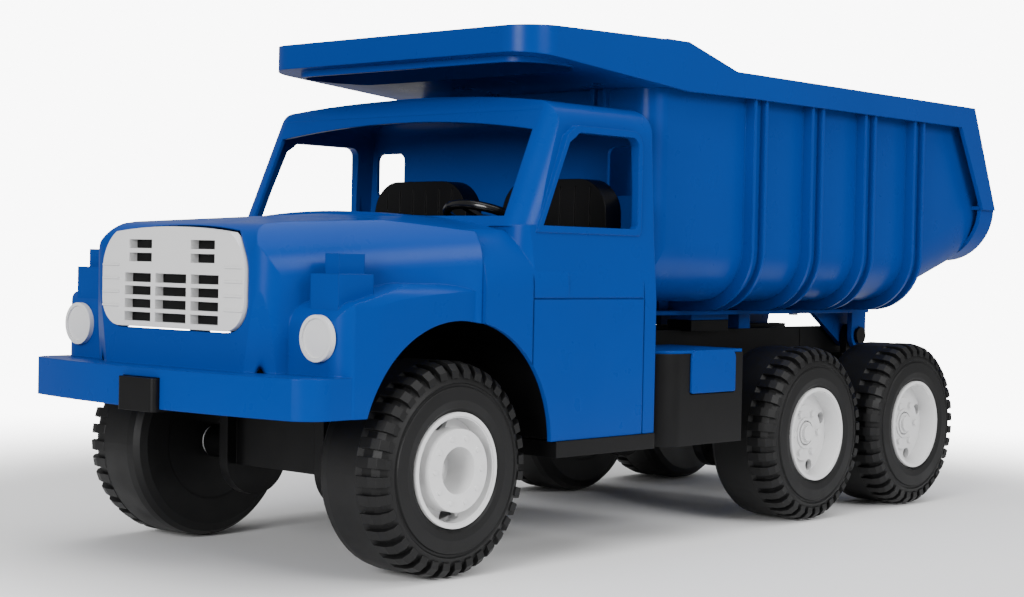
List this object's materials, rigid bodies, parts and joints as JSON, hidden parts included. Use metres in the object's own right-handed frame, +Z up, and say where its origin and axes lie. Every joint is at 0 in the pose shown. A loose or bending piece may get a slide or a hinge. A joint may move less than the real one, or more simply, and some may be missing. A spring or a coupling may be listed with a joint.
{
  "type": "toy dump truck",
  "caption": "Toy dump truck with a rounded bonnet cab, three axles on turning wheels and a ribbed canopy bed that tips about a rear hinge.",
  "frame": {"origin": "centre of the bounding box at ground level, on the truck's centre plane", "axes": "+X towards the front of the truck, +Y to its left side, +Z up"},
  "size_m": [0.744, 0.2574, 0.312],
  "materials": {
    "blue_plastic": "gloss",
    "white_plastic": "satin",
    "black_plastic": "satin",
    "tyre_plastic": "matte",
    "steel": "satin"
  },
  "bodies": {
    "truck": {"front_body": "blue_plastic", "cab_shell": "blue_plastic", "toolbox_lid_left": "blue_plastic", "toolbox_lid_right": "blue_plastic", "grille": "white_plastic", "rod_caps": "white_plastic", "headlamp_left": "white_plastic", "headlamp_right": "white_plastic", "front_rod": "steel", "middle_rod": "steel", "rear_rod": "steel", "frame_screws": "steel", "tow_block": "black_plastic", "grille_screen": "black_plastic", "hinge_rod": "black_plastic", "cab_floor": "black_plastic", "seat_left": "black_plastic", "seat_right": "black_plastic", "dashboard": "black_plastic", "steering_column": "black_plastic", "steering_wheel": "black_plastic", "side_sill_left": "black_plastic", "side_sill_right": "black_plastic", "toolbox_left": "black_plastic", "toolbox_right": "black_plastic", "chassis_frame": "black_plastic", "front_axle_beam": "black_plastic", "rear_axle_carrier": "black_plastic"},
    "bed": {"dump_bed": "blue_plastic", "bed_underframe": "blue_plastic", "bed_screws": "steel"},
    "wheel_front_left": {"rim_fl": "white_plastic", "tyre_fl": "tyre_plastic"},
    "wheel_front_right": {"rim_fr": "white_plastic", "tyre_fr": "tyre_plastic"},
    "wheel_middle_left": {"rim_ml": "white_plastic", "tyre_ml": "tyre_plastic"},
    "wheel_middle_right": {"rim_mr": "white_plastic", "tyre_mr": "tyre_plastic"},
    "wheel_rear_left": {"rim_rl": "white_plastic", "tyre_rl": "tyre_plastic"},
    "wheel_rear_right": {"rim_rr": "white_plastic", "tyre_rr": "tyre_plastic"}
  },
  "joints": [
    {"name": "bed_tip", "type": "hinge", "parent": "truck", "child": "bed", "pos_m": [-0.272, 0, 0.1205], "axis": [0, -1, 0], "range_deg": [0, 50]},
    {"name": "front_left_spin", "type": "hinge", "parent": "truck", "child": "wheel_front_left", "pos_m": [0.253, 0.1025, 0.059], "axis": [0, 1, 0], "continuous": true},
    {"name": "front_right_spin", "type": "hinge", "parent": "truck", "child": "wheel_front_right", "pos_m": [0.253, -0.1025, 0.059], "axis": [0, 1, 0], "continuous": true},
    {"name": "middle_left_spin", "type": "hinge", "parent": "truck", "child": "wheel_middle_left", "pos_m": [-0.1026, 0.1025, 0.059], "axis": [0, 1, 0], "continuous": true},
    {"name": "middle_right_spin", "type": "hinge", "parent": "truck", "child": "wheel_middle_right", "pos_m": [-0.1026, -0.1025, 0.059], "axis": [0, 1, 0], "continuous": true},
    {"name": "rear_left_spin", "type": "hinge", "parent": "truck", "child": "wheel_rear_left", "pos_m": [-0.2341, 0.1025, 0.059], "axis": [0, 1, 0], "continuous": true},
    {"name": "rear_right_spin", "type": "hinge", "parent": "truck", "child": "wheel_rear_right", "pos_m": [-0.2341, -0.1025, 0.059], "axis": [0, 1, 0], "continuous": true}
  ]
}
